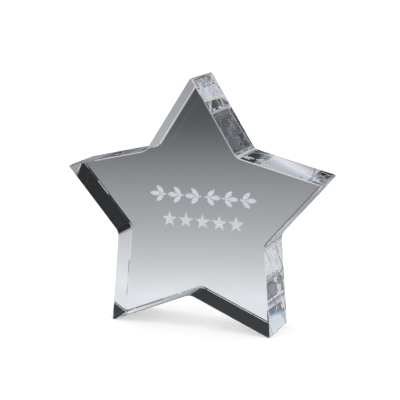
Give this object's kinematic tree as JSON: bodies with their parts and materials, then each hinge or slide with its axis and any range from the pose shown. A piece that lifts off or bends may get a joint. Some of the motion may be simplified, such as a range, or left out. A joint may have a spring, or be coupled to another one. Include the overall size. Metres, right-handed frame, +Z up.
{
  "type": "star trophy",
  "caption": "Thick five-pointed star award of clear optical crystal that stands on its two lower tips, with engraved laurel sprigs and small stars filled flush in its back face.",
  "frame": {"origin": "middle of the star's thickness, on its middle line, at the height of the flats under its two lower tips", "axes": "+X to the right seen from the front, along the width; +Y from the front face towards the engraved back face; +Z up to the top tip"},
  "size_m": [0.088, 0.019, 0.0841],
  "materials": {
    "crystal": "polished",
    "engraving_fill": "frosted"
  },
  "bodies": {
    "root": {"crystal_star": "crystal", "sprig_left_1": "engraving_fill", "sprig_left_2": "engraving_fill", "sprig_left_3": "engraving_fill", "sprig_right_1": "engraving_fill", "sprig_right_2": "engraving_fill", "sprig_right_3": "engraving_fill", "small_star_1": "engraving_fill", "small_star_2": "engraving_fill", "small_star_3": "engraving_fill", "small_star_4": "engraving_fill", "small_star_5": "engraving_fill"}
  },
  "joints": []
}
